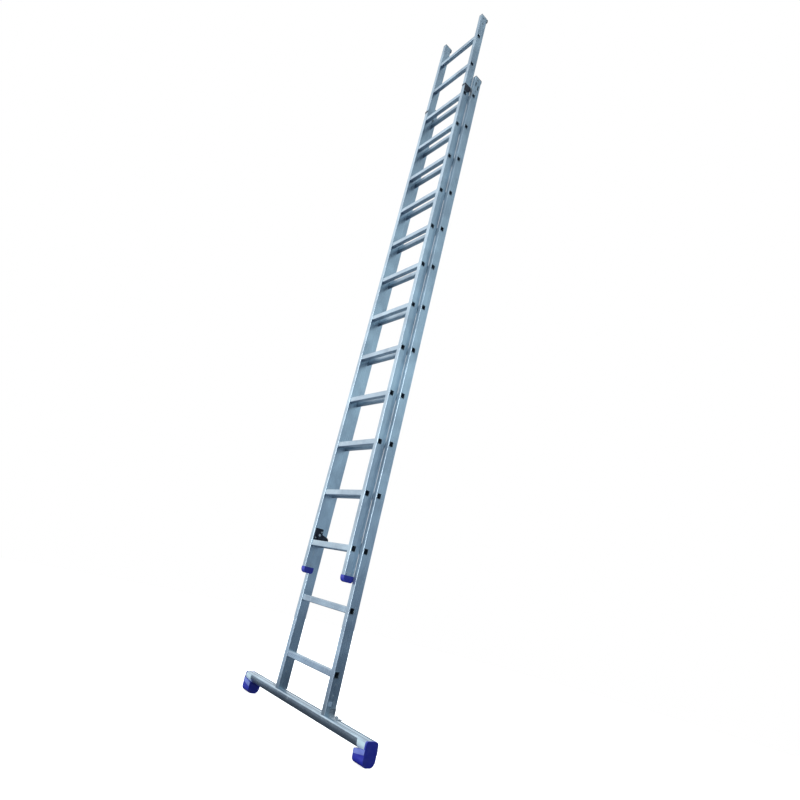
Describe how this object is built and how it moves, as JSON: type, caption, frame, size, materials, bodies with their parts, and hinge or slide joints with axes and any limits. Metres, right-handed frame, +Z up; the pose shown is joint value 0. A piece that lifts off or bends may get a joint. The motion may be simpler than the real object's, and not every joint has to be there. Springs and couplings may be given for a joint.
{
  "type": "extension ladder",
  "caption": "Two-section extension ladder with a raised fly section, rung hooks that rest on a lower rung and a wide stabiliser bar on two feet.",
  "frame": {"origin": "centre of the bounding box in X and Y, at the lowest point of the stabiliser's feet", "axes": "+Z up the stiles, +X along the rungs to the right when facing the climbing side, -Y towards the climber, so the fly section is at -Y of the base section"},
  "size_m": [1.096, 0.1198, 4.681],
  "materials": {
    "stile_aluminium": "extruded, satin",
    "rung_aluminium": "extruded, satin",
    "cast_aluminium": "cast, dull",
    "zinc_steel": "zinc plated",
    "bracket_black": "satin black",
    "foot_blue": "moulded, satin",
    "cap_grey": "moulded, satin",
    "strap_grey": "moulded, satin",
    "label_grey": "printed film"
  },
  "bodies": {
    "base": {"base_stile_left": "stile_aluminium", "base_stile_right": "stile_aluminium", "base_rung_01": "rung_aluminium", "base_rung_02": "rung_aluminium", "base_rung_03": "rung_aluminium", "base_rung_04": "rung_aluminium", "base_rung_05": "rung_aluminium", "base_rung_06": "rung_aluminium", "base_rung_07": "rung_aluminium", "base_rung_08": "rung_aluminium", "base_rung_09": "rung_aluminium", "base_rung_10": "rung_aluminium", "base_rung_11": "rung_aluminium", "base_rung_12": "rung_aluminium", "base_rung_13": "rung_aluminium", "base_rung_14": "rung_aluminium", "base_top_cap_left": "cap_grey", "base_top_cap_right": "cap_grey", "guide_bracket_left": "bracket_black", "guide_bracket_right": "bracket_black", "stile_insert_left": "cast_aluminium", "stile_insert_right": "cast_aluminium", "stabiliser_foot_left": "foot_blue", "stabiliser_foot_right": "foot_blue", "stabiliser_collar_left": "strap_grey", "stabiliser_collar_right": "strap_grey", "stabiliser_bracket_left": "zinc_steel", "stabiliser_bracket_right": "zinc_steel", "stabiliser_bar": "stile_aluminium", "stabiliser_bolts": "zinc_steel", "stabiliser_nuts": "zinc_steel", "base_rivets": "zinc_steel", "blank_label": "label_grey"},
    "fly": {"fly_stile_left": "stile_aluminium", "fly_stile_right": "stile_aluminium", "fly_rung_01": "rung_aluminium", "fly_rung_02": "rung_aluminium", "fly_rung_03": "rung_aluminium", "fly_rung_04": "rung_aluminium", "fly_rung_05": "rung_aluminium", "fly_rung_06": "rung_aluminium", "fly_rung_07": "rung_aluminium", "fly_rung_08": "rung_aluminium", "fly_rung_09": "rung_aluminium", "fly_rung_10": "rung_aluminium", "fly_rung_11": "rung_aluminium", "fly_rung_12": "rung_aluminium", "fly_rung_13": "rung_aluminium", "fly_rung_14": "rung_aluminium", "fly_top_cap_left": "cap_grey", "fly_top_cap_right": "cap_grey", "fly_foot_cap_left": "foot_blue", "fly_foot_cap_right": "foot_blue", "hook_plate_left": "bracket_black", "hook_plate_right": "bracket_black", "hook_pin_left": "zinc_steel", "hook_pin_right": "zinc_steel", "fly_rivets": "zinc_steel"},
    "hook_left": {"rung_hook_left": "bracket_black"},
    "hook_right": {"rung_hook_right": "bracket_black"}
  },
  "joints": [
    {"name": "fly_slide", "type": "slide", "parent": "base", "child": "fly", "axis": [0, 0, 1], "range_m": [-0.56, 2.24]},
    {"name": "hook_left_pivot", "type": "hinge", "parent": "fly", "child": "hook_left", "pos_m": [-0.1582, -0.0276, 0.866], "axis": [1, 0, 0], "range_deg": [0, 110]},
    {"name": "hook_right_pivot", "type": "hinge", "parent": "fly", "child": "hook_right", "pos_m": [0.1582, -0.0276, 0.866], "axis": [1, 0, 0], "range_deg": [0, 110]}
  ]
}
